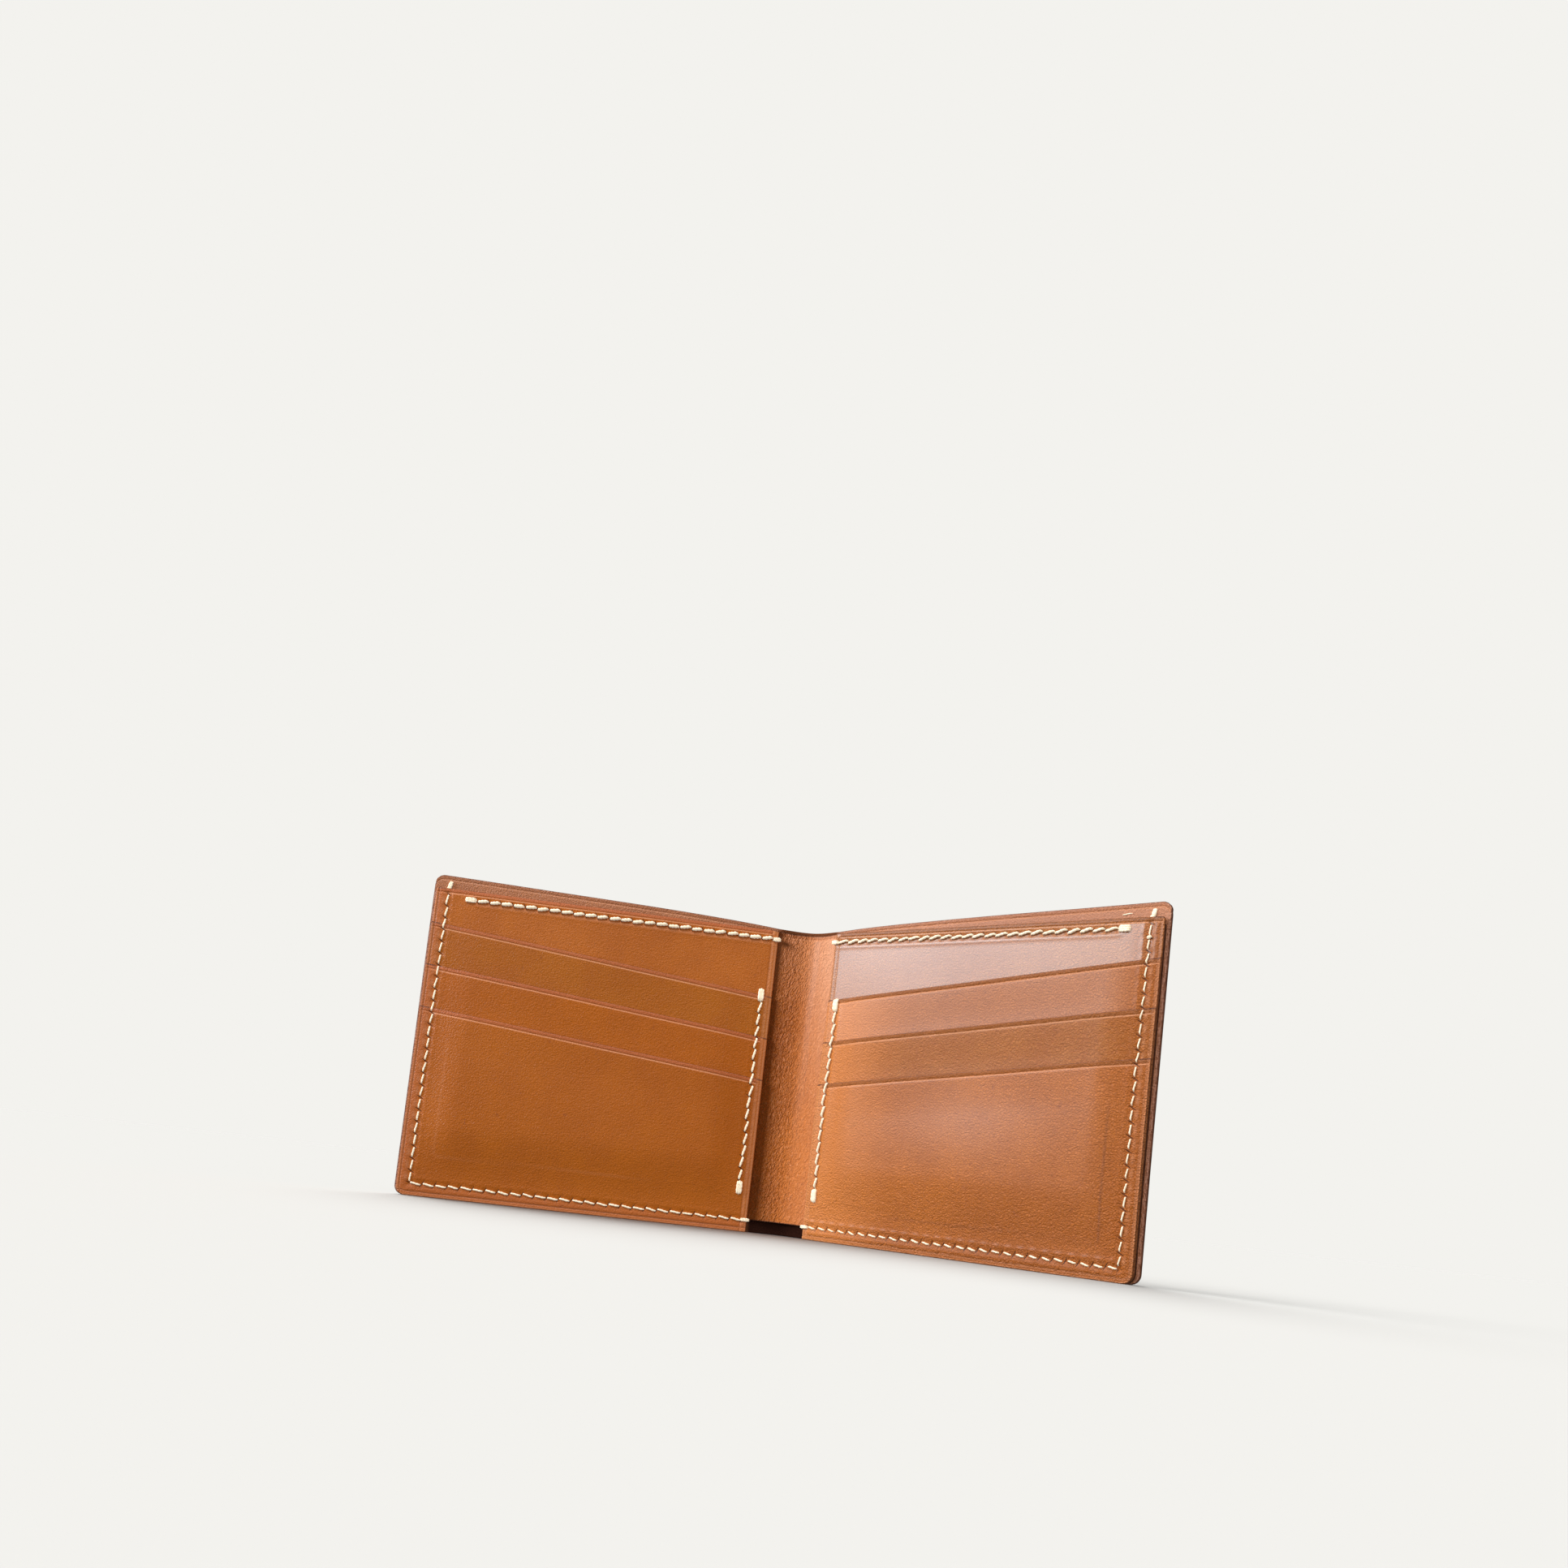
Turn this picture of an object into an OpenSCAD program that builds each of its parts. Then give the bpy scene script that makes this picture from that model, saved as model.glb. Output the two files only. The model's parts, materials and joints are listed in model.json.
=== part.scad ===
// Bifold card and banknote wallet in hand-stitched bridle leather, standing open on its lower edge.
// Z is up, the fold runs along Z, and the pockets face -Y. The origin is the middle of the box on the floor.
// Each half is drawn flat: x runs from the fold side to the outer edge, y is height, z is towards the reader.

/* [Wallet] */
// Width of one card panel, from its fold side to its outer edge
panel_w = 96.6; // [92:0.2:104]
// Height of the card panels
panel_h = 86; // [82:0.5:92]
// Height that the cover stands above the card panels at its outer ends
cover_rise = 4; // [2:0.25:6]
// Even fall of the cover's top edge from its outer ends to the fold
cover_dip = 2.1; // [0:0.1:3]
// Further fall of the cover's top edge close to the fold
fold_dip = 1; // [0:0.1:3]
// Overhang of the cover past the card panels at the outer edges
cover_over = 0.9; // [0:0.1:1.5]
// Clear width between the two card panels at the fold
fold_gap = 16.6; // [15:0.2:20]
// Angle that each half is turned from lying flat
half_tilt = 22.2; // [10:0.2:35]
// Radius of the rounded outer corners
corner_r = 2.5; // [1:0.5:6]

/* [Leather] */
// Thickness of the outer cover
cover_t = 1.1; // [0.9:0.1:1.6]
// Thickness of the lining that divides the banknote pocket from the cards
lining_t = 0.8; // [0.6:0.1:1.2]
// Thickness of the card panels
panel_t = 0.8; // [0.6:0.1:1.2]
// Thickness of each card pocket
pocket_t = 0.7; // [0.6:0.05:1]

/* [Card pockets] */
// Depth of the first slot below the panel's top, at the outer edge
slot_outer = 9.9; // [8:0.1:14]
// Depth of the first slot below the panel's top, at the fold side
slot_inner = 19.3; // [14:0.1:22]
// Distance from one slot to the next
slot_pitch = 11.9; // [10:0.1:14]
// Inset of the T-shaped pockets' stems from the panel's sides
stem_inset = 9; // [8:1:16]
// Overlap of a T-shaped pocket's arms with the next pocket
arm_lap = 5; // [3:0.5:7]
// Height of the middle pocket's lower edge
middle_stem_z = 11; // [11:0.5:15]
// Height of the upper pocket's lower edge
upper_stem_z = 20; // [18:0.5:24]
// Height at which the front pocket steps down on to the panel
front_step_z = 9.6; // [7:0.2:10]

/* [Stitching] */
// Distance between stitches
stitch_pitch = 3.38; // [2.5:0.02:4.5]
// Length of thread that shows in each stitch
stitch_len = 2.7; // [2:0.1:3.2]
// Thickness of the thread
stitch_w = 0.8; // [0.5:0.05:1]
// Height of the thread above the leather
stitch_t = 0.35; // [0.2:0.05:0.5]
// Slant of each stitch
stitch_slant = 10; // [0:1:20]
// Distance of the outer and lower rows from the edge
row_inset = 3.4; // [3:0.1:5]
// Distance of the top row from the panel's top edge
top_inset = 2.6; // [2:0.1:4]

/* [Fold] */
// Room between the two pocket faces when the wallet is shut
shut_gap = 1.1; // [1:0.1:3]
// Distance from the fold axis back to the lining, at the middle of the fold
lining_behind = 3.7; // [3.2:0.1:5]
// Distance from the fold axis back to the cover, at the middle of the fold
cover_behind = 5.5; // [4.8:0.1:8]
// Gap between the fold leather and the halves beside it
fold_clear = 0.4; // [0.3:0.05:0.6]
// Height of the lining's lower edge in the fold
lining_cut = 3.4; // [2:0.1:5]
// Drop of the lining's top edge below the card panels, in the fold
lining_drop = 0.3; // [0:0.1:1]

/* [Hidden] */
left = -1;
right = 1;
cover_colour = "#8a5a3c";
lining_colour = "#c07a42";
panel_colour = "#b5692f";
thread_colour = "#efe3bf";

fold_dip_power = 6;
steps = 24;
touch = 0.02;
tack_w = 1.9;
tack_len = 3.8;
end_tack_len = 3;
top_row_start = 8.5;
inner_inset = 3.2;
inner_row_low = 10.3;
hem_inset = 3;
groove_w = 1.3;
groove_t = stitch_t + 0.05;
front_w = 3 * pocket_t;
cover_width = panel_w + cover_over;
lining_w = -panel_t - lining_t / 2;
cover_w = -panel_t - lining_t - cover_t / 2;

// Fold axis, and the shift that puts the origin in the middle of the box
axis_y = fold_gap / 2 * tan(half_tilt) - (front_w + shut_gap / 2) / cos(half_tilt);
cover_mid_y = axis_y + cover_behind;
lining_mid_y = axis_y + lining_behind;
low_y = -panel_w * sin(half_tilt) - front_w * cos(half_tilt);
high_y = cover_mid_y + cover_t / 2;
shift_y = -(low_y + high_y) / 2;

function slot_z(n, x) = panel_h - slot_inner - (n - 1) * slot_pitch + (slot_inner - slot_outer) * x / panel_w;
function cover_top(x) = let (t = 1 - x / cover_width)
    panel_h + cover_rise - cover_dip * t - fold_dip * pow(t, fold_dip_power);
function arc(x, y, r, from, to) = [for (i = [0:8]) let (a = from + (to - from) * i / 8) [x + r * cos(a), y + r * sin(a)]];

// Front surface of the stacked leather at a height, and under a whole stitch
function face_w(x, z) =
    z < front_step_z - 0.8 ? pocket_t :
    z < slot_z(3, x) ? 3 * pocket_t :
    z < slot_z(2, x) ? 2 * pocket_t :
    z < slot_z(1, x) ? pocket_t : 0;
function under_stitch(x, z, half) = max(face_w(x, z - half), face_w(x, z + half)) + touch;

module on_half(side) {
    translate([0, shift_y, 0])
        mirror([1 - side, 0, 0])
            translate([fold_gap / 2, 0, 0])
                rotate([0, 0, -half_tilt])
                    rotate([90, 0, 0])
                        children();
}

module at_depth(from, thickness) {
    translate([0, 0, from])
        linear_extrude(thickness)
            children();
}

module panel_outline() {
    square([panel_w - corner_r, panel_h]);
    translate([0, corner_r])
        square([panel_w, panel_h - corner_r * 2]);
    for (y = [corner_r, panel_h - corner_r])
        translate([panel_w - corner_r, y])
            circle(corner_r, $fn = 32);
}

module cover(side) {
    inset_x = cover_width - corner_r;
    color(cover_colour)
        on_half(side)
            at_depth(cover_w - cover_t / 2, cover_t)
                polygon(concat(
                    [[0, 0]],
                    arc(inset_x, corner_r, corner_r, -90, 0),
                    arc(inset_x, cover_top(inset_x) - corner_r, corner_r, 0, 90),
                    [for (i = [steps - 1:-1:0]) let (x = inset_x * i / steps) [x, cover_top(x)]]
                ));
}

module lining(side) {
    color(lining_colour)
        on_half(side)
            at_depth(lining_w - lining_t / 2, lining_t)
                panel_outline();
}

module card_panel(side) {
    color(panel_colour)
        on_half(side)
            at_depth(-panel_t, panel_t)
                panel_outline();
}

// Curved leather between the halves, through the ends of their middle surfaces and a middle point
module fold_leather(depth, mid_y, thickness, from, to) {
    end_x = fold_gap / 2 - depth * sin(half_tilt);
    end_y = -depth * cos(half_tilt);
    sag = mid_y - end_y;
    radius = (end_x * end_x + sag * sag) / (2 * sag);
    reach = asin(end_x / radius) - fold_clear / radius * 180 / PI;
    translate([0, shift_y + mid_y - radius, from])
        rotate([0, 0, 90 - reach])
            rotate_extrude(angle = 2 * reach, $fn = 96)
                translate([radius - thickness / 2, 0])
                    square([thickness, to - from]);
}

module cover_fold() {
    color(cover_colour)
        fold_leather(cover_w, cover_mid_y, cover_t, 0.3, cover_top(0));
}

module lining_fold() {
    color(lining_colour)
        fold_leather(lining_w, lining_mid_y, lining_t, lining_cut, panel_h - lining_drop);
}

// T-shaped pocket: arms across the panel just under its slot, and a stem down to its hem
module t_pocket(side, n, stem_z) {
    stem_x = panel_w - stem_inset;
    depth = (n - 1) * pocket_t;
    color(panel_colour)
        on_half(side)
            difference() {
                at_depth(depth, pocket_t)
                    polygon([
                        [0, slot_z(n, 0)],
                        [0, slot_z(n + 1, 0) - arm_lap],
                        [stem_inset, slot_z(n + 1, stem_inset) - arm_lap],
                        [stem_inset, stem_z],
                        [stem_x, stem_z],
                        [stem_x, slot_z(n + 1, stem_x) - arm_lap],
                        [panel_w, slot_z(n + 1, panel_w) - arm_lap],
                        [panel_w, slot_z(n, panel_w)]
                    ]);
                at_depth(depth + pocket_t - groove_t, groove_t + 1)
                    translate([stem_inset + 1, stem_z + hem_inset - groove_w / 2])
                        square([panel_w - stem_inset * 2 - 2, groove_w]);
            }
}

// Front pocket: over both stems above its step, and down on the panel below it
module front_pocket(side) {
    ramp = 1;
    top = slot_z(3, panel_w);
    color(panel_colour)
        on_half(side)
            intersection() {
                rotate([90, 0, 90])
                    linear_extrude(panel_w)
                        polygon([
                            [0, 0],
                            [front_step_z - ramp, 0],
                            [front_step_z, front_w - pocket_t],
                            [top, front_w - pocket_t],
                            [top, front_w],
                            [front_step_z - ramp / 2, front_w],
                            [front_step_z - ramp * 3 / 2, pocket_t],
                            [0, pocket_t]
                        ]);
                at_depth(-1, front_w + 2)
                    intersection() {
                        panel_outline();
                        polygon([[0, 0], [panel_w, 0], [panel_w, slot_z(3, panel_w)], [0, slot_z(3, 0)]]);
                    }
            }
}

module stitch(x, z, turn, length = stitch_len, width = stitch_w) {
    straight = length - width;
    half = abs(sin(turn)) * length / 2 + width / 2;
    translate([x, z, under_stitch(x, z, half)])
        rotate([0, 0, turn])
            linear_extrude(stitch_t) {
                square([straight, width], center = true);
                for (end = [-straight / 2, straight / 2])
                    translate([end, 0])
                        circle(width / 2, $fn = 24);
            }
}

// Saddle stitches from one point along a level or upright line
module stitch_row(x, z, length, turn, slant) {
    count = round(length / stitch_pitch);
    pitch = length / count;
    for (i = [0:count - 1])
        let (along = (i + 0.5) * pitch)
            stitch(x + along * cos(turn), z + along * sin(turn), turn + slant);
}

// Up the outer side, and along the foot of one half. All the rows lean the same way as seen by the reader.
module edge_thread(side) {
    slant = -stitch_slant * side;
    outer_x = panel_w - row_inset;
    color(thread_colour)
        on_half(side) {
            stitch_row(outer_x, row_inset, panel_h - row_inset - stitch_len, 90, slant);
            stitch(outer_x, panel_h, 90, tack_len);
            stitch_row(end_tack_len / 2, row_inset, outer_x - end_tack_len / 2, 0, slant);
            stitch(0, row_inset, 0, end_tack_len - 0.5);
        }
}

module top_thread(side) {
    row_z = panel_h - top_inset;
    start_x = end_tack_len / 2;
    length = panel_w - top_row_start - end_tack_len - start_x;
    color(thread_colour)
        on_half(side) {
            stitch_row(start_x, row_z, length, 0, stitch_slant * side);
            stitch(panel_w - top_row_start - end_tack_len / 2, row_z, 0, end_tack_len, tack_w / 2);
            stitch(0, row_z, 0, end_tack_len - 0.3, tack_w / 2);
        }
}

module inner_thread(side) {
    high = slot_z(1, inner_inset) - tack_len / 2;
    low = inner_row_low + tack_len;
    color(thread_colour)
        on_half(side) {
            stitch(inner_inset, high + tack_len / 2, 90, tack_len, tack_w);
            stitch_row(inner_inset, low, high - low, 90, -stitch_slant * side);
            stitch(inner_inset, inner_row_low + tack_len / 2, 90, tack_len, tack_w);
        }
}

// Stitches sunk in the groove of a T-shaped pocket's hem
module hem_thread(side, n, stem_z) {
    length = panel_w - stem_inset * 2 - 4;
    count = round(length / stitch_pitch);
    color(thread_colour)
        on_half(side)
            for (i = [0:count - 1])
                translate([stem_inset + 2 + (i + 0.5) * length / count, stem_z + hem_inset, 0])
                    at_depth(n * pocket_t - stitch_t, stitch_t)
                        square([stitch_len, stitch_w], center = true);
}

cover(left);  // cover_left
cover_fold();
cover(right);  // cover_right
lining(left);  // lining_left
lining_fold();
lining(right);  // lining_right
card_panel(left);  // card_panel_left
t_pocket(left, 1, upper_stem_z);  // upper_pocket_left
t_pocket(left, 2, middle_stem_z);  // middle_pocket_left
front_pocket(left);  // front_pocket_left
card_panel(right);  // card_panel_right
t_pocket(right, 1, upper_stem_z);  // upper_pocket_right
t_pocket(right, 2, middle_stem_z);  // middle_pocket_right
front_pocket(right);  // front_pocket_right
edge_thread(left);  // edge_thread_left
top_thread(left);  // top_thread_left
inner_thread(left);  // inner_thread_left
edge_thread(right);  // edge_thread_right
top_thread(right);  // top_thread_right
inner_thread(right);  // inner_thread_right
hem_thread(left, 1, upper_stem_z);  // upper_hem_thread_left
hem_thread(left, 2, middle_stem_z);  // middle_hem_thread_left
hem_thread(right, 1, upper_stem_z);  // upper_hem_thread_right
hem_thread(right, 2, middle_stem_z);  // middle_hem_thread_right
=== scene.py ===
import json
import math

import bmesh
import bpy
import numpy as np
from mathutils import Matrix, Vector


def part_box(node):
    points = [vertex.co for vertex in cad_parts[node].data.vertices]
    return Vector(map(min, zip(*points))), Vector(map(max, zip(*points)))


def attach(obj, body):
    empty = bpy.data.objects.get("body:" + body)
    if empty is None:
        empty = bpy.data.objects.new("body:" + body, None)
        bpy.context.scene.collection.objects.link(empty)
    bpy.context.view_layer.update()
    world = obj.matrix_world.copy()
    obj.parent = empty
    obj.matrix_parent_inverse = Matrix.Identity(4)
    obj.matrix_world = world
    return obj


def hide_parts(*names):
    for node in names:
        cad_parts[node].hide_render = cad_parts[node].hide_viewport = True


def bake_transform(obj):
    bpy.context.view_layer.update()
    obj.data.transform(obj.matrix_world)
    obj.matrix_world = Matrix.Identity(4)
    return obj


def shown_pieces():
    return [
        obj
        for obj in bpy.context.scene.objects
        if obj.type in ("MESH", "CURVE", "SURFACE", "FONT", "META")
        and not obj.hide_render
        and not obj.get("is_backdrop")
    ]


# A hand-stitched bifold wallet, standing open. Lengths are in millimetres in each half's own frame, and
# become metres when placed. u runs from the fold side to the outer edge, z up, and w towards the reader.

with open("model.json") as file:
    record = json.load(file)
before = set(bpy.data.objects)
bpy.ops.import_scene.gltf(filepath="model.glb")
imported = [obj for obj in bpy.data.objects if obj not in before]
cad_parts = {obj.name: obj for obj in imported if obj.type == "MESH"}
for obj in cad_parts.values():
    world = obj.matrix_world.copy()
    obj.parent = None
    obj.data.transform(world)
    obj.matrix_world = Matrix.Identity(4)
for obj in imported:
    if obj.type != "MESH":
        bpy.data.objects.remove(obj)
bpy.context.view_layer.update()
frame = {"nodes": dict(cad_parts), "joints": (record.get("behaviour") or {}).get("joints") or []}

MM = 0.001

# Stitch rows: their pitch and places, and the leaning awl slits under the thread
PITCH = 3.38
ROW_INSET = 3.4
TOP_INSET = 2.6
INNER_INSET = 3.2
INNER_ROW_LOW = 14.1
INNER_ROW_DROP = {"left": 1.9, "right": 3.5}
ROW_START = 1.5
ROW_FADE = 1.2
SIDE_ROW_SHORT = 1.6
TOP_ROW_SHORT = 13.0
SLIT_LEAN = 0.55
SLIT_REACH = 1.05
SLIT_WIDTH = 0.17

# How each row is sewn: the slant of its stitches in degrees, how deep they sink, how deep their channel is,
# and how far the leather swells beside each
SEWING = {
    "left": {
        "side": (4, 0.14, 0.14, 0.02), "foot": (5, 0.10, 0.12), "top": (-5, 0.03, 0.2),
        "inner": (9, 0.0, 0.12)},
    "right": {
        "side": (-4, 0.04, 0.14, 0.09), "foot": (-8, 0.16, 0.12, 0.15), "top": (10, 0.03, 0.2),
        "inner": (-9, 0.0, 0.12)},
}

# The thread of each row: its length and radius, and in the top row also its bow and how blunt it ends
STITCHES = {
    "left": {"side": (2.6, 0.24), "foot": (2.9, 0.25), "top": (2.85, 0.46, 0.1, 5)},
    "right": {"side": (2.4, 0.19), "foot": (2.2, 0.22), "top": (3.3, 0.33, 0.28, 5)},
}
INNER_STITCH = (3.0, 0.3)
TOP_TACK_WIDTH = {"left": 1.45, "right": 1.7}
TAIL_AT = 86.4
KNOT = 0.42

# Rounded edges and corners, creases, and the pockets' thinned sides
EDGE_ROUND = 0.3
SPINE_ROUND = 1.2
SPINE_DROP = 0.4
CORNER = 2.5
PANEL_CORNER = 0.9
COVER_CORNER = 0.7
CREASE_DOWN = 1.2
CREASE_FOOT = 1.1
CREASE_OUTER = 0.8
CREASE_SPINE = 1.8
CREASE_DEPTH = 0.15
MARGIN = 14.0
SEWN_EDGE = 1.5
THIN = 0.42
FOOT_START = 4.0
ARM_LAP = 5.0

# How finely a grid is divided at edges, creases and rows: the gap there, and how far it reaches
AT_EDGE = (0.07, 0.35)
AT_CREASE = (0.13, 0.45)
AT_SOFT_CREASE = (0.16, 0.5)
AT_ROW = (0.3, 1.5)
AT_LEVEL_ROW = (0.28, 1.6)
HEAD_ZONE = 6.0
FOOT_ZONE = 6.5

# The curve of the fold: where it meets the flat halves, its steps, and how full it is
SHEET_LEAD = 1.2
FOLD_STEPS = 60
FOLD_FULL = 1.05

# How the pockets bow and sway, and where the stems' outline fades
LEAN = {1: 0.22, 2: 0.34, 3: 0.26}
CROWN = {"left": 0.25, "right": 0.7}
SWAY_TURN = {"left": 0.4, "right": 1.9}
IMPRESSION = {"left": 0.015, "right": 0.05}
STEM_ROUND = 0.9
STEM_LOW = {"left": 11.5, "right": 8.5}
STEM_FADE_UP = (30, 52)
STEM_FADE_IN = (20, 45)

# Depth of the side creases, and how far each edge paint, painted shade, painted highlight and band shows on
# each half, from 0 to 1
CREASE_PRESS = {"left": 0.15, "right": 0.09}
# CREASE_DARK and STEM_DARK are painted shade, in the side creases and along the stems' outline; STEM_LIT
# paints a highlight on that outline
CREASE_DARK = {"left": 0.25, "right": 0.1}
STEM_LIT = {"left": 0.14, "right": 0.0}
STEM_DARK = {"left": 0.0, "right": 0.4}
# painted highlight on the rounded edge at the fold side
SPINE_BAND = {"left": 0.75, "right": 0.6}
# margin band in the mouth colour, a pinkish painted sheen on the left half
OUTER_BAND = {"left": 0.45, "right": 0.15}
# painted light: the right half's pockets paler towards the fold side
INNER_GLOW = {"left": 0.0, "right": 0.7}
# painted highlights on the swelling beside the edge rows and below the top row
ROW_GLOW = {"left": 0.5, "right": 0.45}
TOP_GLOW = {"left": 0.35, "right": 0.15}
# how much of the crease line's painted highlight is lost past the side row
PAST_ROW_LOSS = {"left": 0.7, "right": 0.0}
# the edge mask's value that marks the painted highlight on the cover's right rim
RIM_MASK = 0.7


# ---------------- places in the frame

joint = frame["joints"][0]
TILT = math.radians(-min(joint["range_deg"]) / 2)


def rise(x, start, end):
    """0 before start, 1 after end, smooth between them."""
    t = np.clip((x - start) / (end - start), 0, 1)
    return t * t * (3 - 2 * t)


def fall(x, start, end):
    """1 before start, 0 after end, smooth between them."""
    return 1 - rise(x, start, end)


def bell(x, width):
    """1 at x = 0, falling to both sides over about the width."""
    return np.exp(-((x / width) ** 2))


class Half:
    """One half of the wallet: its own frame, and the sizes that its CAD nodes give."""

    def __init__(self, name, side):
        self.name, self.side, self.body = name, side, f"{name}_half"
        self.out = np.array([side * math.cos(TILT), -math.sin(TILT), 0.0])
        self.face = np.array([-side * math.sin(TILT), -math.cos(TILT), 0.0])
        self.origin = np.zeros(3)
        u, _, w = self.points(f"card_panel_{name}")
        self.origin = self.out * u.min() + self.face * w.max()
        u, z, w = self.points(f"card_panel_{name}")
        self.width, self.height, self.panel_t = u.max(), z.max(), -w.min()
        self.pocket_t = self.span(f"upper_pocket_{name}", 2)[1]
        self.cover_back, self.cover_front = self.span(f"cover_{name}", 2)
        self.stems = [self.span(f"{n}_pocket_{name}", 1)[0] for n in ("upper", "middle")]
        self.slots = [self.slot_ends(f"{n}_pocket_{name}") for n in ("upper", "middle", "front")]
        self.stem_inset = self.stem_side(f"upper_pocket_{name}")

    def points(self, node):
        co = np.array([v.co for v in frame["nodes"][node].data.vertices], float) / MM
        co = co - self.origin
        return co @ self.out, co[:, 2], co @ self.face

    def span(self, node, axis):
        values = self.points(node)[axis]
        return values.min(), values.max()

    def slot_ends(self, node):
        """Height of a pocket's top edge at the fold side and at the outer edge."""
        u, z, _ = self.points(node)
        return z[u < 0.01].max(), z[u > self.width - 0.01].max()

    def stem_side(self, node):
        u, z, _ = self.points(node)
        return u[z < z.min() + 0.01].min()

    def slot_z(self, n, u):
        inner, outer = self.slots[n - 1]
        return inner + (outer - inner) * u / self.width

    def top_edge(self, node):
        """The height of a node's top outline as a function of u."""
        u, z, _ = self.points(node)
        upper = z > self.height / 2
        order = np.argsort(u[upper])
        return lambda x: np.interp(x, u[upper][order], z[upper][order])

    def place(self, u, z, w):
        p = self.origin + np.multiply.outer(u, self.out) + np.multiply.outer(w, self.face)
        p[..., 2] += z
        return p * MM


HALVES = [Half("left", -1), Half("right", 1)]


# ---------------- stitch rows

class Row:
    """A straight row of saddle stitches: where it runs, how it presses the leather, and its stitches."""

    def __init__(self, u, z, angle, length, slant, sunk=0.0, channel=0.1, bumps=0.0):
        self.start, self.angle = np.array([u, z]), math.radians(angle)
        self.along = np.array([math.cos(self.angle), math.sin(self.angle)])
        self.across = np.array([-self.along[1], self.along[0]])
        self.count = max(1, round(length / PITCH))
        self.length, self.pitch = length, length / self.count
        self.slant, self.sunk, self.channel, self.bumps = math.radians(slant), sunk, channel, bumps
        self.lean = -math.copysign(SLIT_LEAN, slant)

    def measure(self, u, z):
        """Distance along the row and across it."""
        du, dz = u - self.start[0], z - self.start[1]
        return du * self.along[0] + dz * self.along[1], du * self.across[0] + dz * self.across[1]

    def away(self, u, z):
        """Distance to the row, whose ends are not passed."""
        s, d = self.measure(u, z)
        return np.hypot(d, np.maximum(np.maximum(-s, s - self.length), 0))

    def press(self, u, z):
        """How far the row presses the leather down: a channel, its awl holes and the swelling beside it."""
        s, d = self.measure(u, z)
        inside = rise(s, -ROW_FADE, 0) * fall(s, self.length, self.length + ROW_FADE)
        turn = (s - self.lean * d) / self.pitch
        holes = bell((turn - np.round(turn)) * self.pitch, 0.5) * bell(d, 0.8)
        scallop = 0.5 - 0.5 * np.cos(2 * math.pi * s / self.pitch)
        beside = bell(d - 1.5, 0.5) + bell(d + 1.5, 0.5)
        swell = (0.4 * self.channel + self.bumps * scallop) * beside
        return (self.channel * bell(d, 0.95) + 0.2 * holes - swell) * inside

    def shoulder(self, u, z, scallop):
        """1 on the rounded leather on the right of the row. scallop breaks it up beside each stitch."""
        s, d = self.measure(u, z)
        inside = rise(s, 0, ROW_FADE) * fall(s, self.length - ROW_FADE, self.length)
        wave = 1 - scallop * (0.5 + 0.5 * np.cos(2 * math.pi * s / self.pitch))
        return bell(d + 1.15, 0.45) * wave * inside

    def slits(self, u, z):
        """Stitches counted along the leaning slits, distance across the row, and 1 where the row is."""
        s, d = self.measure(u, z)
        present = rise(s, -0.4, -0.1) * fall(s, self.length + 0.1, self.length + 0.4)
        return np.stack([(s - self.lean * d) / self.pitch, d, present], -1)

    def stitches(self):
        for i in range(self.count):
            yield self.start + self.along * self.pitch * (i + 0.5), self.angle + self.slant


def slit_marks(rows, u, z):
    """The slits of the nearest row at each point."""
    marks = np.stack([0 * u, 0 * u + 99.0, 0 * u], -1)
    nearest = np.full(u.shape, 9.0)
    for row in rows:
        away = row.away(u, z)
        marks = np.where((away < nearest)[..., None], row.slits(u, z), marks)
        nearest = np.minimum(away, nearest)
    return marks


def edge_rows(half):
    """The rows up the outer side and along the foot."""
    outer, sewing = half.width - ROW_INSET, SEWING[half.name]
    side_row = Row(outer, ROW_INSET, 90, half.height - ROW_INSET - SIDE_ROW_SHORT, *sewing["side"])
    foot_row = Row(ROW_START, ROW_INSET, 0, outer - ROW_START, *sewing["foot"])
    return [side_row, foot_row]


def top_row(half):
    return Row(ROW_START, half.height - TOP_INSET, 0, half.width - TOP_ROW_SHORT, *SEWING[half.name]["top"])


def inner_row(half):
    high = half.slot_z(1, INNER_INSET) - INNER_ROW_DROP[half.name]
    return Row(INNER_INSET, INNER_ROW_LOW, 90, high - INNER_ROW_LOW, *SEWING[half.name]["inner"])


# ---------------- leather layers of one half

def inward(half, u, start, end):
    """0 up to start from either side of a half, 1 farther in than end."""
    return rise(u, start, end) * fall(u, half.width - end, half.width - start)


def thinned(half, u):
    """1 in the middle of a half, falling to the thin leather that is sewn at its two sides."""
    return THIN + (1 - THIN) * inward(half, u, SEWN_EDGE, MARGIN)


def layer_face(half, n, u, z):
    """Front surface of layer n, lying on the layers below: 0 is the card panel and 3 the front pocket."""
    stem = rise(z, FOOT_START, half.stems[0] + 1)
    layer = half.pocket_t * thinned(half, u) * stem
    return n * layer + (half.pocket_t * (1 - stem) if n == 3 else 0)


def sway(half, u, z):
    """A slow unevenness that all the layers of a half share."""
    turn = SWAY_TURN[half.name]
    slow = np.sin(u * 0.055 + turn) * np.cos(z * 0.045 + turn * 2)
    return 0.16 * slow + 0.05 * np.sin(u * 0.13 + z * 0.09 + turn * 3)


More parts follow.
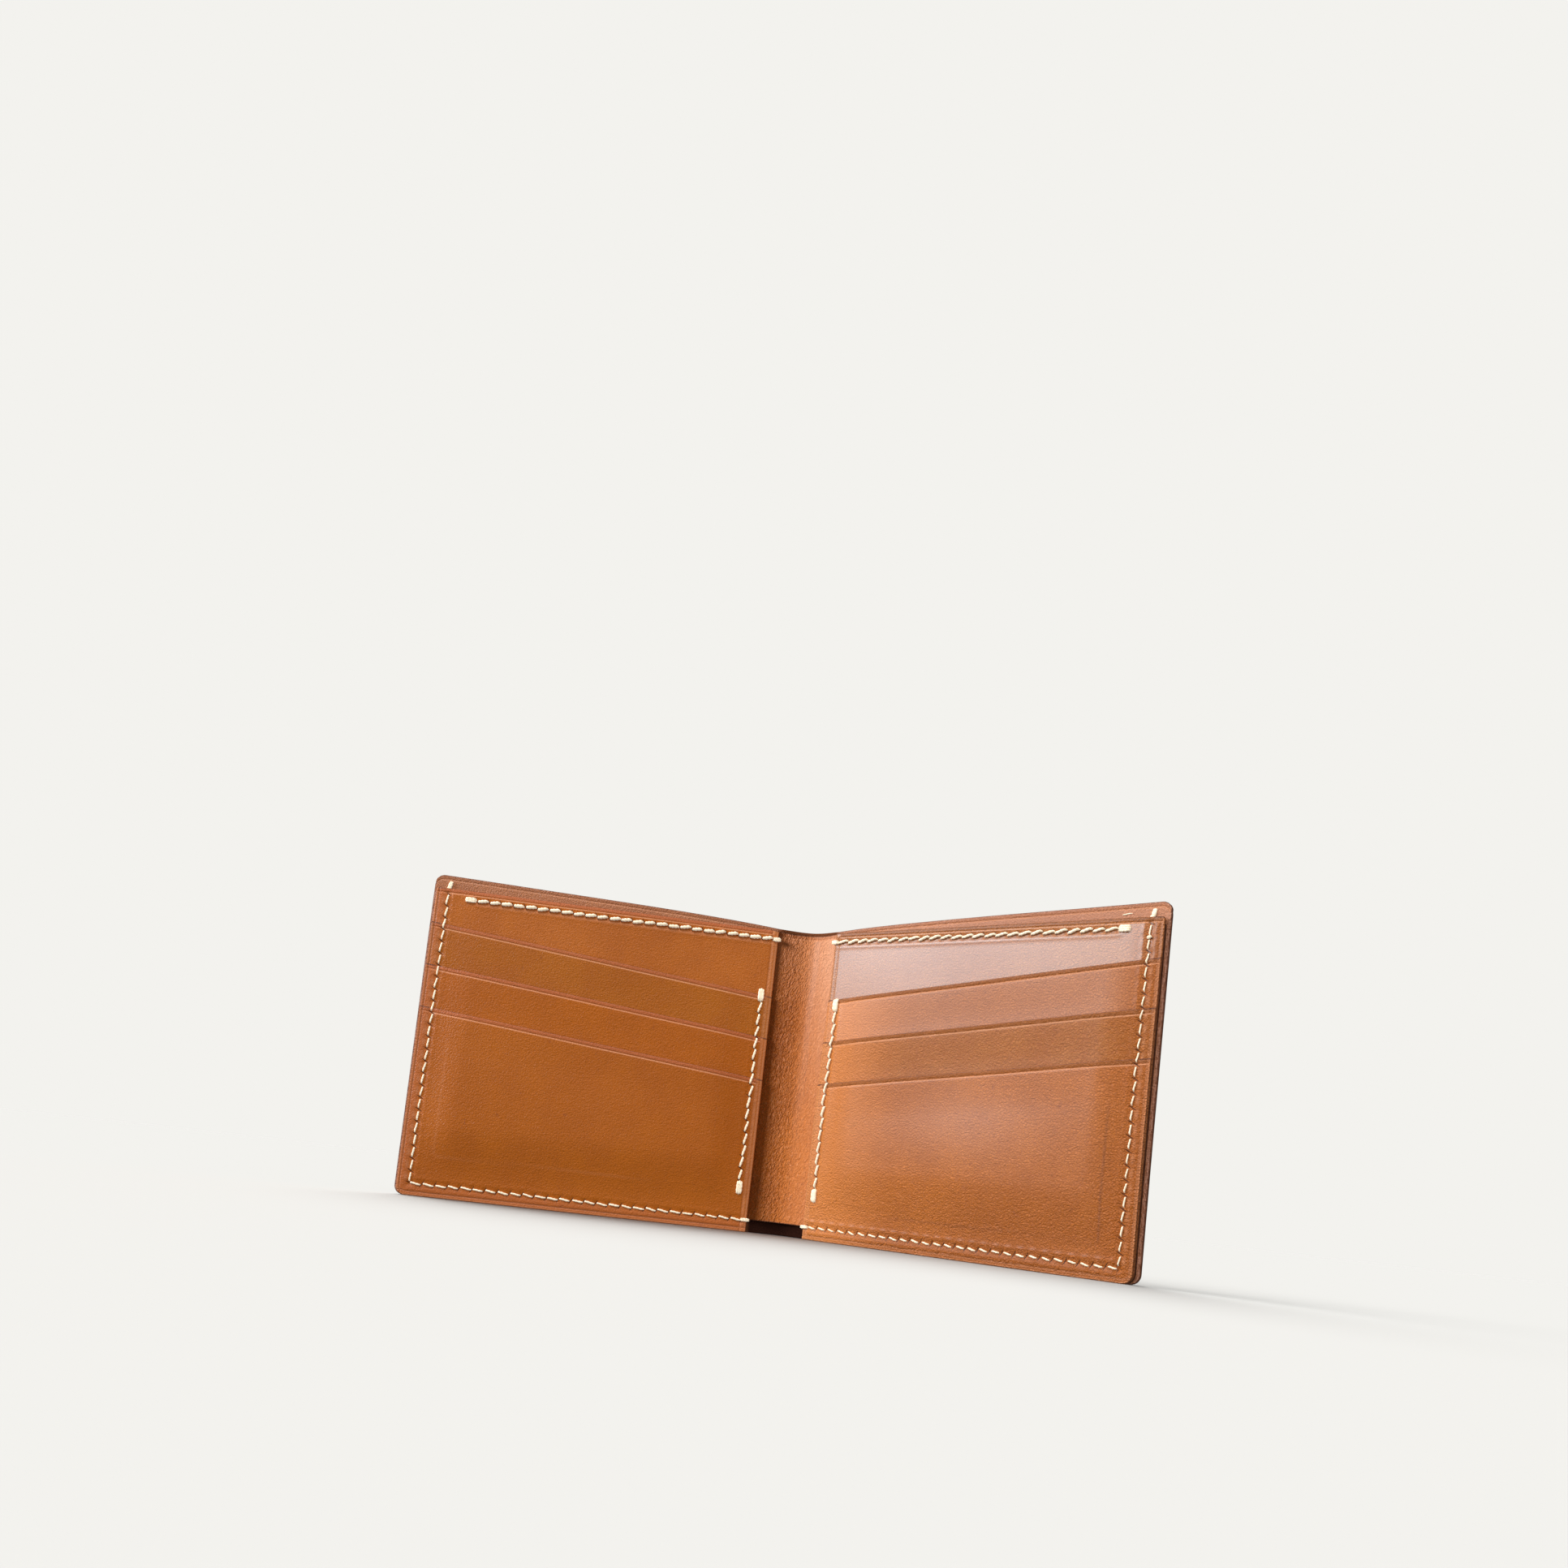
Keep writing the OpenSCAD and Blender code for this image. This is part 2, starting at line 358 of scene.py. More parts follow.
def shaping(half, n, u, z):
    """How a pocket bows away from the layers under it: leaning at its mouth, and crowned in front."""
    if n == 0:
        return 0 * u
    down = half.slot_z(n, u) - z
    lean = LEAN[n] * inward(half, u, 4, 24) * fall(down, -1.0, 11.0)
    if n < 3:
        return lean
    tall = np.clip(z / half.slot_z(3, u), 0, 1)
    crown = CROWN[half.name] * np.sin(math.pi * u / half.width) ** 2 * np.sin(math.pi * tall) ** 2
    stem = inward(half, u, half.stem_inset - STEM_ROUND, half.stem_inset)
    stem = stem * rise(z, half.stems[1] - STEM_ROUND, half.stems[1])
    inside_rows = rise(z, 4.5, 8) * inward(half, u, 4.5, 9)
    return lean + crown - IMPRESSION[half.name] * (1 - stem) * inside_rows


def stem_outline(half, u, z):
    """1 on the line that the hidden stems' outer and lower edges press into the front pocket."""
    side, low = half.width - half.stem_inset, STEM_LOW[half.name]
    down = bell(u - side, 0.3) * rise(z, low, low + 1) * fall(z, *STEM_FADE_UP)
    along = bell(z - low, 0.3) * rise(u, *STEM_FADE_IN) * fall(u, side - 1, side)
    return np.maximum(down, along)


def skin(half, n, u, z):
    """Front surface of layer n before its creases and stitch marks."""
    return sway(half, u, z) + layer_face(half, n, u, z) + shaping(half, n, u, z)


def front_face(half, u, z):
    """The foremost leather at a point. Above the panels it is the cover's inside."""
    w = np.where(z > half.height, half.cover_front + sway(half, u, z), skin(half, 0, u, z))
    for n in (1, 2, 3):
        w = np.where(z < half.slot_z(n, u), skin(half, n, u, z), w)
    return w


def lines(length, features, coarse):
    """Positions along a length, close together near each (place, fine gap, reach) feature."""
    x = np.linspace(0, length, 6000)
    gap = np.full_like(x, coarse)
    for at, fine, reach in features:
        gap = np.minimum(gap, fine + (coarse - fine) * np.clip((np.abs(x - at) - reach) / reach, 0, 1))
    turns = np.concatenate([[0], np.cumsum(np.diff(x) * 2 / (gap[1:] + gap[:-1]))])
    return np.interp(np.linspace(0, turns[-1], math.ceil(turns[-1]) + 1), turns, x)


def round_corner(u, z, corner_u, corner_z, radius):
    """Moves the points of a square corner on to a quarter disc. The corner lies at (corner_u, corner_z)."""
    sign_u = 1 if corner_u > radius * 2 else -1
    sign_z = 1 if corner_z > radius * 2 else -1
    centre_u, centre_z = corner_u - sign_u * radius, corner_z - sign_z * radius
    p, q = (u - centre_u) * sign_u, (z - centre_z) * sign_z
    inside = (p > 0) & (q > 0)
    size = np.hypot(p, q)
    scale = np.where(inside & (size > 1e-9), np.maximum(p, q) / np.maximum(size, 1e-9), 1.0)
    return centre_u + sign_u * p * scale, centre_z + sign_z * q * scale


def edge_drop(distance, reach=EDGE_ROUND, depth=None):
    """How far a rounded edge falls away at a distance from the outline."""
    away = 1 - np.clip(distance / reach, 0, 1)
    return (reach if depth is None else depth) * (1 - np.sqrt(1 - away**2))


def slab(name, front, back, keep, attributes, material):
    """A closed sheet from two grids of points. keep says which cells exist; attributes pair two grids."""
    rows, cols = front.shape[:2]
    used = np.zeros((rows, cols), bool)
    for di in (0, 1):
        for dj in (0, 1):
            used[di:rows - 1 + di, dj:cols - 1 + dj] |= keep
    number = np.full((rows, cols), -1)
    number[used] = np.arange(used.sum())
    count = int(used.sum())
    a, b = number[:-1, :-1], number[1:, :-1]
    c, d = number[1:, 1:], number[:-1, 1:]
    quads = np.stack([a, b, c, d], -1)[keep]
    faces = [quads, quads[:, ::-1] + count]
    padded = np.zeros((rows + 1, cols + 1), bool)
    padded[1:-1, 1:-1] = keep
    here = padded[1:-1, 1:-1]
    for first, second, beside in (
        (a, b, padded[1:-1, :-2]),
        (b, c, padded[2:, 1:-1]),
        (c, d, padded[1:-1, 2:]),
        (d, a, padded[:-2, 1:-1]),
    ):
        rim = here & ~beside
        p, q = first[rim], second[rim]
        faces.append(np.stack([q, p, p + count, q + count], -1))
    co = np.concatenate([front[used], back[used]])
    values = {key: np.concatenate([f[used], b[used]]) for key, (f, b) in attributes.items()}
    return mesh_piece(name, co, np.concatenate(faces).tolist(), values, material)


def linked(name, data):
    """A new object in the scene."""
    found = bpy.data.objects.new(name, data)
    bpy.context.scene.collection.objects.link(found)
    return found


def mesh_piece(name, co, faces, attributes, material):
    """A smooth closed object. Attributes with four columns become colours, and the others vectors."""
    mesh = bpy.data.meshes.new(name)
    mesh.from_pydata(co.tolist(), [], faces)
    mesh.update()
    mesh.shade_smooth()
    for key, values in attributes.items():
        values = np.asarray(values, np.float32)
        if values.shape[1] == 4:
            mesh.color_attributes.new(key, "FLOAT_COLOR", "POINT").data.foreach_set("color", values.ravel())
        else:
            mesh.attributes.new(key, "FLOAT_VECTOR", "POINT").data.foreach_set("vector", values.ravel())
    piece = linked(name, mesh)
    mesh.materials.append(material)
    bm = bmesh.new()
    bm.from_mesh(mesh)
    bmesh.ops.recalc_face_normals(bm, faces=bm.faces)
    bm.to_mesh(mesh)
    bm.free()
    return piece


def panel_grid(half, top, low, hidden_z):
    """Grid of u and z, fine at edges, creases and rows. Up to the share hidden_z, other layers cover it."""
    width = half.width
    us = lines(width, [
        (0, *AT_EDGE), (CREASE_SPINE, *AT_SOFT_CREASE), (INNER_INSET, *AT_ROW),
        (width - ROW_INSET, *AT_ROW), (width - CREASE_OUTER, 0.13, 0.4), (width, 0.07, 0.3),
    ], 0.55)
    head = lines(HEAD_ZONE, [(0, *AT_EDGE), (CREASE_DOWN, *AT_CREASE), (TOP_INSET, *AT_LEVEL_ROW)], 0.6)
    if low > 0:
        foot = lines(FOOT_ZONE, [(0, 0.1, 0.4)], 2.5)
    else:
        at_foot = [(0, *AT_EDGE), (CREASE_FOOT, *AT_SOFT_CREASE), (ROW_INSET, *AT_LEVEL_ROW)]
        foot = lines(FOOT_ZONE, at_foot, 0.6)
    shortest = min(top(0), top(width)) - low - HEAD_ZONE - FOOT_ZONE
    middle = np.linspace(0, 1, max(3, int(shortest / (0.62 if hidden_z is None else 2.4))))[1:-1]
    if hidden_z is not None:
        middle = np.unique(np.concatenate([middle, np.linspace(hidden_z, 1, 30)[:-1]]))
    u, z = np.meshgrid(us, np.zeros(len(foot) + len(middle) + len(head)), indexing="ij")
    z_top = top(u[:, :1])
    z[:, :len(foot)] = low + foot
    z[:, len(foot):-len(head)] = (1 - middle) * (low + FOOT_ZONE) + middle * (z_top - HEAD_ZONE)
    z[:, -len(head):] = z_top - head[::-1]
    return u, z, z_top - z


def strongest(*masks):
    """The greatest of several masks at each point."""
    return np.maximum.reduce(masks)


def panel_creases(half, u, z, low):
    """Where the line along a layer's mouth runs, and 1 on the lines along its sides."""
    from_outer = half.width - u
    within = rise(u, CREASE_SPINE - 0.3, CREASE_SPINE + 0.3) * rise(from_outer, 0.2, 0.5)
    sides = np.maximum(bell(u - CREASE_SPINE, 0.22), bell(from_outer - CREASE_OUTER, 0.17))
    if low == 0:
        sides = np.maximum(sides, bell(z - CREASE_FOOT, 0.2))
    return within, sides


def panel_finish_and_painted_light(half, n, u, z, down, low, rows):
    """Layer n's edge paint and painted light: burnished edge, painted light near the fold, painted
    highlights on creases and rims, painted shade in creases, and band at its mouth and margins.
    """
    name, from_foot, from_outer = half.name, z - low, half.width - u
    from_side = np.minimum(np.minimum(u, from_outer), from_foot)
    within, sides = panel_creases(half, u, z, low)
    outline = stem_outline(half, u, z) if n == 3 else 0 * u
    in_margin = fall(np.minimum(from_outer, u + 1.0), ROW_INSET - 1.2, ROW_INSET - 0.4)
    # edge paint on the rims, with painted shade in the side creases and along the stems' outline; the side
    # walls take only 0.65 of the paint, painted lighter to stand for light they do not get
    edge = strongest(
        fall(down / (1 + 1.5 * in_margin), 0.04, 0.22),
        0.65 * fall(from_side, 0.0, 0.13),
        CREASE_DARK[name] * sides * rise(u, CREASE_SPINE, CREASE_SPINE + 1),
        STEM_DARK[name] * outline)
    past_row = 1 - PAST_ROW_LOSS[name] * fall(from_outer, ROW_INSET - 0.9, ROW_INSET)
    # painted highlights: the crease line below each mouth, the rounded rims, the side creases, the band at
    # the fold side, the swelling beside the rows and the stems' outline
    lit = strongest(
        bell(down - CREASE_DOWN - 0.15, 0.17) * within * past_row,
        0.5 * bell(from_side - 0.3, 0.2),
        0.35 * sides,
        SPINE_BAND[name] * (bell(u - 0.5, 0.3) + 0.6 * bell(u - 1.35, 0.25)),
        ROW_GLOW[name] * rows[0].shoulder(u, z, 1.0),
        TOP_GLOW[name] * rows[2].shoulder(u, z, 0.2) if n == 0 else 0 * u,
        STEM_LIT[name] * outline)
    # painted light: the right half's pockets paler towards the fold side
    glow = INNER_GLOW[name] * min(n, 1) * fall(u, 3.0, 32.0)
    margin = np.minimum(from_outer, from_foot) if low == 0 else from_outer
    # band in the mouth colour, which on the left half is a pinkish painted sheen
    band = strongest(
        fall(down, CREASE_DOWN - 0.3, CREASE_DOWN) * within,
        OUTER_BAND[name] * fall(margin, ROW_INSET - 1.2, ROW_INSET))
    return np.stack([edge, glow, lit, band], -1)


def panel_piece(half, n, top, low, rows, material, name, hidden_z=None):
    """Layer n of a half, from its lower edge to its slanted top edge, with its creases and stitch marks."""
    width = half.width
    u, z, down = panel_grid(half, top, low, hidden_z)
    from_side = np.minimum(np.minimum(u, width - u), z - low)

    keep = np.ones((u.shape[0] - 1, u.shape[1] - 1), bool)
    if n in (1, 2):
        mid_u, mid_z = (u[1:, 1:] + u[:-1, :-1]) / 2, (z[1:, 1:] + z[:-1, :-1]) / 2
        in_stem = (mid_u > half.stem_inset) & (mid_u < width - half.stem_inset)
        keep = in_stem | (mid_z > half.slot_z(n + 1, mid_u) - ARM_LAP)

    base = sway(half, u, z) + shaping(half, n, u, z)
    face = base + layer_face(half, n, u, z)
    behind = base + (layer_face(half, n - 1, u, z) if n else -half.panel_t)
    reach = np.minimum(EDGE_ROUND, 0.45 * (face - behind))
    drop = edge_drop(np.minimum(from_side, down), reach) * reach / EDGE_ROUND
    within, sides = panel_creases(half, u, z, low)
    press = CREASE_DEPTH * (bell(down - CREASE_DOWN, 0.2) * within) + CREASE_PRESS[half.name] * sides
    for row in rows:
        press = press + row.press(u, z)
    w_front = face - press - drop - edge_drop(u, SPINE_ROUND, SPINE_DROP)
    w_back = np.minimum(behind + 0.5 * drop, w_front - 0.1)

    finish = panel_finish_and_painted_light(half, n, u, z, down, low, rows)
    if low == 0:
        u, z = round_corner(u, z, width, 0.0, CORNER)
    if n == 0:
        u, z = round_corner(u, z, width, half.height, PANEL_CORNER)
    place = np.stack([u * half.side, z, np.full_like(u, n * 7.0)], -1)
    slits = slit_marks(rows, u, z)
    attributes = {
        "finish": (finish, finish * [1, 0, 0, 0]),
        "place": (place, place + [0, 0, 1]),
        "slits": (slits, slits * [1, 1, 0]),
    }
    piece = slab(name, half.place(u, z, w_front), half.place(u, z, w_back), keep, attributes, material)
    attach(piece, half.body)
    return piece


# ---------------- sheets that cross the fold

def fold_path(depth, mid_y, width):
    """Points, normals and unrolled distance of a sheet's middle, from its left edge to its right one."""
    right = HALVES[1]
    length, row_at = width - SHEET_LEAD, right.width - ROW_INSET - SHEET_LEAD
    flat = lines(length, [(length, *AT_EDGE), (row_at, *AT_ROW)], 0.8)
    u_flat = SHEET_LEAD + flat
    start = right.place(SHEET_LEAD, 0.0, depth) / MM
    turn = np.linspace(0, 1, FOLD_STEPS + 1)[:-1]
    reach = abs(start[0]) * FOLD_FULL
    p0, p1 = np.array([0.0, mid_y]), start[:2]
    m0, m1 = np.array([reach, 0.0]), right.out[:2] * reach
    h = turn[:, None]
    curve = ((2 * h**3 - 3 * h**2 + 1) * p0 + (h**3 - 2 * h**2 + h) * m0
             + (-2 * h**3 + 3 * h**2) * p1 + (h**3 - h**2) * m1)
    straight = (right.place(u_flat, np.zeros_like(u_flat), np.full_like(u_flat, depth)) / MM)[:, :2]
    half_path = np.concatenate([curve, straight])
    u_half = np.concatenate([SHEET_LEAD - (1 - turn) * abs(start[0]), u_flat])
    path = np.concatenate([half_path[:0:-1] * [-1, 1], half_path])
    u_all = np.concatenate([u_half[:0:-1], u_half])
    side = np.concatenate([-np.ones(len(half_path) - 1), np.ones(len(half_path))])
    tangent = np.gradient(path, axis=0)
    tangent /= np.linalg.norm(tangent, axis=1, keepdims=True)
    normal = np.stack([tangent[:, 1], -tangent[:, 0]], -1)
    unrolled = np.concatenate([[0], np.cumsum(np.linalg.norm(np.diff(path, axis=0), axis=1))])
    return path, normal, u_all, side, unrolled - unrolled[-1] / 2


class Sheet:
    """The sizes of a sheet of leather that crosses the fold, from its right and fold CAD nodes."""

    def __init__(self, word):
        right = HALVES[1]
        back, front = right.span(f"{word}_right", 2)
        low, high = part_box(f"{word}_fold")
        self.word = word
        self.depth, self.thickness = (back + front) / 2, front - back
        self.mid_y = high.y / MM - self.thickness / 2
        self.width = right.span(f"{word}_right", 0)[1]
        self.fold_low, self.fold_high = low.z / MM, high.z / MM


def sheet_piece(sheet, foot_z, top_z, rows_of, corners, relief, shade, material):
    """A sheet of leather across both halves and the fold, curved where it crosses the fold."""
    path, normal, u, side, unrolled = fold_path(sheet.depth, sheet.mid_y, sheet.width)
    half_length = unrolled[-1]
    head = lines(HEAD_ZONE, [(0, *AT_EDGE), (CREASE_DOWN, *AT_CREASE), (4.0, 0.3, 1.4)], 0.7)
    foot = lines(FOOT_ZONE, [(0, *AT_EDGE), (ROW_INSET, *AT_ROW)], 0.7)
    body = np.linspace(0, 1, 60)[1:-1]
    low, high = foot_z(u)[:, None], top_z(u)[:, None]
    middle = (1 - body) * (low + FOOT_ZONE) + body * (high - HEAD_ZONE)
    z = np.concatenate([low + foot, middle, high - head[::-1]], axis=1)
    uu = np.repeat(u[:, None], z.shape[1], 1)
    xx = np.repeat(unrolled[:, None], z.shape[1], 1)
    down = high - z
    distance = np.minimum(half_length - np.abs(xx), np.minimum(down, z - low))
    drop = edge_drop(distance)
    along, z_r = np.abs(xx), z
    for corner_z, radius in zip((0.0, high[-1, 0]), corners):
        along, z_r = round_corner(along, z_r, half_length, corner_z, radius)
    shift = (along - np.abs(xx)) * np.sign(xx)
    tangent = np.stack([-normal[:, 1], normal[:, 0]], -1)
    base = path[:, None, :] + tangent[:, None, :] * shift[..., None]

    is_left = side[:, None] < 0
    left, right = HALVES
    press = np.where(is_left, *(sum_of(rows_of(half), uu, z) for half in HALVES))
    slits = np.where(is_left[..., None], *(slit_marks(rows_of(half), uu, z) for half in HALVES))
    swaying = np.where(is_left, sway(left, uu, z), sway(right, uu, z)) * rise(uu, 0.0, 9.0)
    bump_front, bump_back = relief(uu, z, xx) if relief else (0.0, 0.0)
    crease = bell(down - CREASE_DOWN, 0.2)
    w_front = sheet.thickness / 2 - drop + swaying + bump_front - 0.12 * crease
    w_back = -sheet.thickness / 2 + drop + swaying + bump_back + press + 0.09 * crease

    # in_fold: painted light on the lining, paler to the right and top of the fold; on the cover, its
    # near-black painted shade at the foot
    in_fold = shade(uu, z, xx)
    edge = fall(distance, 0.12, 0.42)
    below_top = fall(z, right.height - 1.5, right.height)
    # painted highlight on the cover's right rim
    rim = RIM_MASK * rise(uu, right.width - 0.2, right.width + 0.1) * below_top
    edge_front = np.maximum(edge * fall(in_fold, 0.8, 1.0), rim)
    # painted highlight along the crease line below the top edge
    lit = 0.4 * bell(down - CREASE_DOWN - 0.15, 0.18)
    band = 0.5 * fall(down, CREASE_DOWN - 0.3, CREASE_DOWN)
    front_finish_and_painted_light = np.stack([edge_front, in_fold, lit * (1 - in_fold), band], -1)
    back_finish_and_painted_light = np.stack([edge, 0 * z, lit, 0 * z], -1)
    place = np.stack([xx, z_r, 0 * z + 40], -1)
    attributes = {
        "finish": (front_finish_and_painted_light, back_finish_and_painted_light),
        "place": (place, place + [0, 0, 3]),
        "slits": (slits * [1, 1, 0], slits),
    }

    def at(w):
        xy = base + normal[:, None, :] * w[..., None]
        return np.concatenate([xy, z_r[..., None]], -1) * MM

    keep = np.ones((z.shape[0] - 1, z.shape[1] - 1), bool)
    piece = slab(f"{sheet.word}_leather", at(w_front), at(w_back), keep, attributes, material)
    start = left.place(SHEET_LEAD, 0.0, sheet.depth)
    end = right.place(SHEET_LEAD, 0.0, sheet.depth)
    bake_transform(piece)
    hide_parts(*(f"{sheet.word}_{part}" for part in ("left", "fold", "right")))
    return piece


def sum_of(rows, u, z):
    """How far all the rows together press the leather down."""
    return sum((row.press(u, z) for row in rows), 0 * u)


# ---------------- thread

def strand(points, radius, turns=1.6, blunt=8, sides=10):
    """A twisted two-ply tube along points, with rounded ends. Returns its vertices and faces."""
    points = np.asarray(points, float)
    n = len(points)
    tangent = np.gradient(points, axis=0)
    tangent /= np.linalg.norm(tangent, axis=1, keepdims=True)
    across = np.cross(tangent, [0.0, 0.0, 1.0])
    across /= np.linalg.norm(across, axis=1, keepdims=True)
    over = np.cross(across, tangent)
    step = np.linspace(0, 1, n)
    angle = 2 * math.pi * np.arange(sides) / sides
    ply = 1 + 0.15 * np.cos(2 * (angle[None, :] - 2 * math.pi * turns * step[:, None]))
    taper = np.clip(np.sqrt(np.clip(1 - np.abs(2 * step - 1) ** blunt, 0, 1)), 0.35, 1)
    r = radius * ply * taper[:, None]
    ring = (points[:, None, :] + r[..., None] * (np.cos(angle)[None, :, None] * across[:, None, :]
            + np.sin(angle)[None, :, None] * over[:, None, :]))
    co = np.concatenate([ring.reshape(-1, 3), points[:1], points[-1:]])
    faces = []
    for i in range(n - 1):
        for j in range(sides):
            k = (j + 1) % sides
            faces.append((i * sides + j, i * sides + k, (i + 1) * sides + k, (i + 1) * sides + j))
    first, last = n * sides, n * sides + 1
    faces += [(first, (j + 1) % sides, j) for j in range(sides)]
    faces += [(last, (n - 1) * sides + j, (n - 1) * sides + (j + 1) % sides) for j in range(sides)]
    return co, faces


def stitch_points(half, centre, angle, length, surface, lift, offset=0.0, bow=0.0):
    """Centreline of one stitch in (u, z, w): out of one awl hole, along the leather and into the next."""
    s = np.linspace(-1, 1, 15)
    direction = np.array([math.cos(angle), math.sin(angle)])
    sideways = np.array([-direction[1], direction[0]])
    flat = centre + np.outer(s * length / 2, direction) + np.outer(offset + bow * (s - s**3), sideways)
    under = surface(half, flat[:, 0], flat[:, 1])
    under = np.convolve(np.pad(under, 2, "edge"), np.ones(5) / 5, "valid")
    return np.column_stack([flat, under + lift - 0.6 * np.abs(s) ** 7])


def row_strands(half, row, length=2.9, radius=0.34, bow=0.16, blunt=8, surface=front_face):
    """One strand per stitch, each a little different, as a hand leaves them."""
    random = np.random.default_rng(int(row.start[1] * 7 + row.count))
    found = []
    for centre, angle in row.stitches():
        wander = random.normal(0, [0.07, 0.07])
        tilt = angle + random.normal(0, 0.04)
        size = length * (1 + random.normal(0, 0.04))
        thick = radius * (1 + random.normal(0, 0.05))
        lift = thick * 0.8 - row.sunk
        bend = math.copysign(bow, row.slant)
        points = stitch_points(half, centre + wander, tilt, size, surface, lift, bow=bend)
        found.append((points, thick, blunt))
    return found


def tack_strands(half, centre, degrees, length, width, lift=0.25, plies=3, blunt=5):
    """A bar tack: several strands laid side by side and pulled round at the ends."""
    radius = width / plies * 0.66
    places = np.linspace(-1, 1, plies) * (width / 2 - radius)
    found = []
    for i, place in enumerate(places):
        size = length * (1 - 0.1 * abs(i - (plies - 1) / 2))
        points = stitch_points(half, np.array(centre), math.radians(degrees), size, front_face, lift, place)
        found.append((points, radius, blunt))
    return found


def cover_outside(half, u, z):
    return -half.cover_back - sway(half, u, z)


def thread_piece(half, word, strands):
    """One piece from many strands, each a centreline, a radius and how blunt its ends are."""
    co_all, faces, where, start = [], [], [], 0
    for k, (points, radius, blunt) in enumerate(strands):
        co, own_faces = strand(points, radius, blunt=blunt)
        faces += [tuple(i + start for i in face) for face in own_faces]
        start += len(co)
        co_all.append(co)
        where.append(np.column_stack([co[:, 0], co[:, 1], np.full(len(co), 3.7 * k)]))
    co = np.concatenate(co_all)
    at = half.place(co[:, 0], co[:, 1], co[:, 2])
    piece = mesh_piece(f"{half.name}_{word}", at, faces, {"place": np.concatenate(where)}, CREAM)
    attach(piece, half.body)
    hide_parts(f"{word}_{half.name}")


# ---------------- materials

class Nodes:
    """Builds a material's or a world's nodes with one short call each."""

    def __init__(self, owner, kind="Material"):
        owner.use_nodes = True
        self.owner, self.tree = owner, owner.node_tree
        self.tree.nodes.clear()
        self.out = self.tree.nodes.new("ShaderNodeOutput" + kind)

    def add(self, kind, inputs=None, **settings):
        node = self.tree.nodes.new("ShaderNode" + kind)
        for key, value in settings.items():
            setattr(node, key, value)
        for key, value in (inputs or {}).items():
            self.feed(node.inputs[key], value)
        return node

    def feed(self, socket, value):
        """Links a socket to the input, or sets the input to a plain value."""
        if isinstance(value, bpy.types.NodeSocket):
            self.tree.links.new(value, socket)
        else:
            socket.default_value = value

    def math(self, operation, a, b=0.0, clamp=False):
        return self.add("Math", {0: a, 1: b}, operation=operation, use_clamp=clamp).outputs[0]

    def times(self, a, b, clamp=False):
        return self.math("MULTIPLY", a, b, clamp)

    def plus(self, a, b, clamp=False):
        return self.math("ADD", a, b, clamp)

    def most(self, a, b):
        return self.math("MAXIMUM", a, b)

    def rest(self, a, clamp=False):
        """What a leaves of 1."""
        return self.math("SUBTRACT", 1.0, a, clamp)

    def mix(self, factor, a, b):
        """Colour a, turning into colour b as the factor goes from 0 to 1."""
        node = self.tree.nodes.new("ShaderNodeMix")
        node.data_type = "RGBA"
        for socket, value in ((node.inputs[0], factor), (node.inputs[6], a), (node.inputs[7], b)):
            self.feed(socket, value)
        return node.outputs[2]

    def tint(self, base, mask, share, tone, clamp=False):
        """A colour with another laid over it, as far as the mask and the share say."""
        return self.mix(self.times(mask, share, clamp), base, tone)

    def pile(self, height, part, share):
        """A height with a share of another one added."""
        return self.plus(height, self.times(part, share))

    def ramp(self, factor, low, high):
        node = self.add("MapRange", {0: factor, 1: low, 2: high}, interpolation_type="SMOOTHSTEP")
        return node.outputs[0]

    def noise(self, vector, scale, detail=3.0, rough=0.55, distortion=0.0):
        return self.add("TexNoise", {"Vector": vector, "Scale": scale, "Detail": detail, "Roughness": rough,
                                     "Distortion": distortion}).outputs["Fac"]

    def stretched(self, vector, x, y, z, lean=0.0):
        """Coordinates scaled along their axes, after a turn by lean."""
        turned = self.add("VectorRotate", {"Vector": vector, "Angle": lean}, rotation_type="Z_AXIS")
        return self.add("Mapping", {"Vector": turned.outputs[0], "Scale": (x, y, z)}).outputs[0]

    def surface(self, inputs):
        self.feed(self.out.inputs[0], self.add("BsdfPrincipled", inputs).outputs[0])


def colour(r, g, b):
    """An sRGB colour, 0 to 255, as the linear one that shaders take."""
    shares = [v / 255 for v in (r, g, b)]
    return (*(v / 12.92 if v <= 0.04045 else ((v + 0.055) / 1.055) ** 2.4 for v in shares), 1.0)


